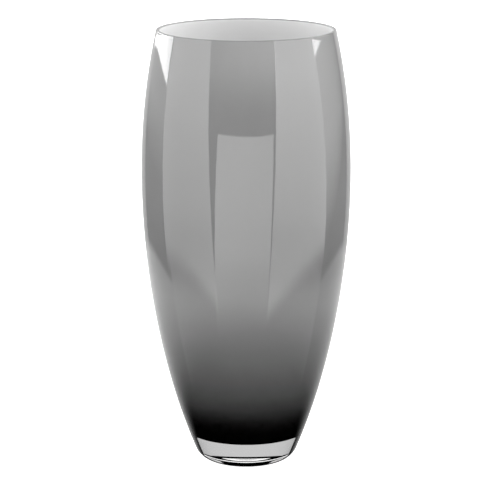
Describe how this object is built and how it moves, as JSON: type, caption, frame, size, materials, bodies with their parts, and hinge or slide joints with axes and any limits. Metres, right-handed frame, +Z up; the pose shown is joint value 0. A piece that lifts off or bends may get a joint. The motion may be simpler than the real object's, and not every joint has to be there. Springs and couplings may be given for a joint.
{
  "type": "glass vase",
  "caption": "Tall barrel-shaped blown glass vase: white opal lining, smoke-grey layer that darkens downwards, clear outer casing with a thick clear foot.",
  "frame": {"origin": "centre of the flat ring that the foot stands on", "axes": "+Z up along the axis that the vase is turned about, from the foot to the mouth; X and Y level, any azimuth"},
  "size_m": [0.181, 0.181, 0.38],
  "materials": {
    "clear_glass": "fire-polished, colourless",
    "smoke_glass": "grey at the mouth, darkening to black at the bottom",
    "opal_glass": "white opal, smooth and softly glossy"
  },
  "bodies": {
    "root": {"clear_casing": "clear_glass", "smoke_layer": "smoke_glass", "opal_lining": "opal_glass"}
  },
  "joints": []
}
